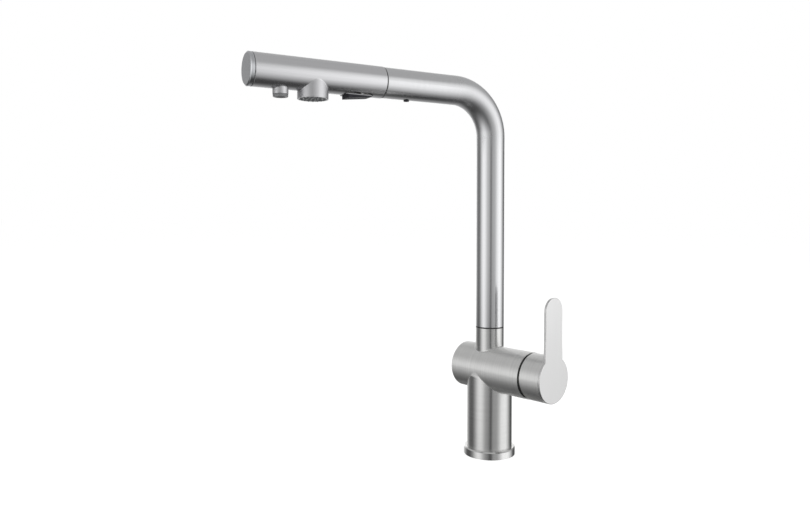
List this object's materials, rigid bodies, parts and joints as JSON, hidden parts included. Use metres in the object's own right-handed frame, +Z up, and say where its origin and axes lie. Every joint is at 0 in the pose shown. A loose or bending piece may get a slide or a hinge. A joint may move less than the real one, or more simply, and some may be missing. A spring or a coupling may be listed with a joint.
{
  "type": "pull-out kitchen faucet",
  "caption": "Single-hole kitchen mixer with an L-shaped swivel spout, a pull-out head with spray, stream and rocker switch, and a side lever.",
  "frame": {"origin": "on the worktop's top face, on the axis of the upright column", "axes": "+Z up; +X along the valve barrel towards the lever; the spout swings about Z and points 12.75 degrees to the -X side of -Y at rest"},
  "size_m": [0.1466, 0.272, 0.4466],
  "materials": {
    "brushed_nickel": "brushed",
    "polished_nickel": "polished",
    "black_plastic": "satin",
    "white_plastic": "matte",
    "grey_plastic": "satin",
    "grey_rubber": "matte",
    "black_rubber": "matte",
    "brass": "machined",
    "plain_steel": "plain",
    "ceramic": "ground",
    "hose_sleeve": "braided"
  },
  "bodies": {
    "root": {"body_shell": "brushed_nickel", "base_ring": "polished_nickel", "base_gasket": "black_rubber", "foot_insert": "brass", "threaded_shank": "brass", "rubber_washer": "black_rubber", "clamp_washer": "plain_steel", "mounting_nut": "brass", "valve_block": "brass", "cartridge_seals": "black_rubber", "cartridge_base": "white_plastic", "fixed_disc": "ceramic", "cartridge_housing": "white_plastic", "retaining_nut": "brass", "cover_dome": "black_plastic", "swivel_stop_screw": "plain_steel", "swivel_ring": "black_plastic", "hose_body_run": "hose_sleeve", "hose_coupling": "brass"},
    "spout": {"spout_tube": "brushed_nickel", "spout_spigot": "brass", "glide_rings": "white_plastic", "docking_bush": "white_plastic", "docking_screw": "black_plastic", "hose_riser_run": "hose_sleeve"},
    "spray_head": {"head_shell": "brushed_nickel", "front_cap": "polished_nickel", "cap_seal": "black_rubber", "waterway_core": "white_plastic", "docking_cone": "brass", "seam_ring": "black_plastic", "check_valve": "white_plastic", "hose_ferrule": "brass", "hose_arm_run": "hose_sleeve", "stream_aerator": "grey_plastic", "aerator_screen": "grey_plastic", "shower_face": "grey_plastic", "shower_nubs": "grey_rubber", "rocker_pin": "plain_steel"},
    "rocker": {"rocker_plate": "polished_nickel", "rocker_pad": "black_plastic"},
    "spool": {"diverter_spool": "grey_plastic", "spool_rings": "black_rubber"},
    "lever_turret": {"cartridge_turret": "white_plastic", "stem_pin": "plain_steel"},
    "mixing_disc": {"moving_disc": "ceramic", "disc_carrier": "white_plastic"},
    "handle": {"cartridge_stem": "plain_steel", "handle_cap": "brushed_nickel", "lever_plate": "brushed_nickel", "lever_screw": "plain_steel"}
  },
  "joints": [
    {"name": "spout_swivel", "type": "hinge", "parent": "root", "child": "spout", "pos_m": [0, 0, 0.127], "axis": [0, 0, 1], "range_deg": [-47.25, 72.75]},
    {"name": "spray_pull_out", "type": "slide", "parent": "spout", "child": "spray_head", "axis": [-0.2207, -0.9753, 0], "range_m": [0, 0.45], "deforming": ["hose_arm_run"]},
    {"name": "diverter_rock", "type": "hinge", "parent": "spray_head", "child": "rocker", "pos_m": [-0.03178, -0.14045, 0.3465], "axis": [-0.9753, 0.2207, 0], "range_deg": [0, 8]},
    {"name": "spool_slide", "type": "slide", "parent": "spray_head", "child": "spool", "axis": [0.2207, 0.9753, 0], "range_m": [0, 0.00075]},
    {"name": "lever_turn", "type": "hinge", "parent": "root", "child": "lever_turret", "pos_m": [0.04, 0, 0.0858], "axis": [1, 0, 0], "range_deg": [-50, 50]},
    {"name": "lever_tilt", "type": "hinge", "parent": "lever_turret", "child": "handle", "pos_m": [0.04, 0, 0.0858], "axis": [0, 1, 0], "range_deg": [0, 9]},
    {"name": "disc_slide", "type": "slide", "parent": "lever_turret", "child": "mixing_disc", "axis": [0, 0, 1], "range_m": [0, 0.00149]}
  ],
  "couplings": [
    {"joint": "spool_slide", "follows": "diverter_rock", "m_per_rad": 0.0053},
    {"joint": "disc_slide", "follows": "lever_tilt", "m_per_rad": 0.0094}
  ]
}
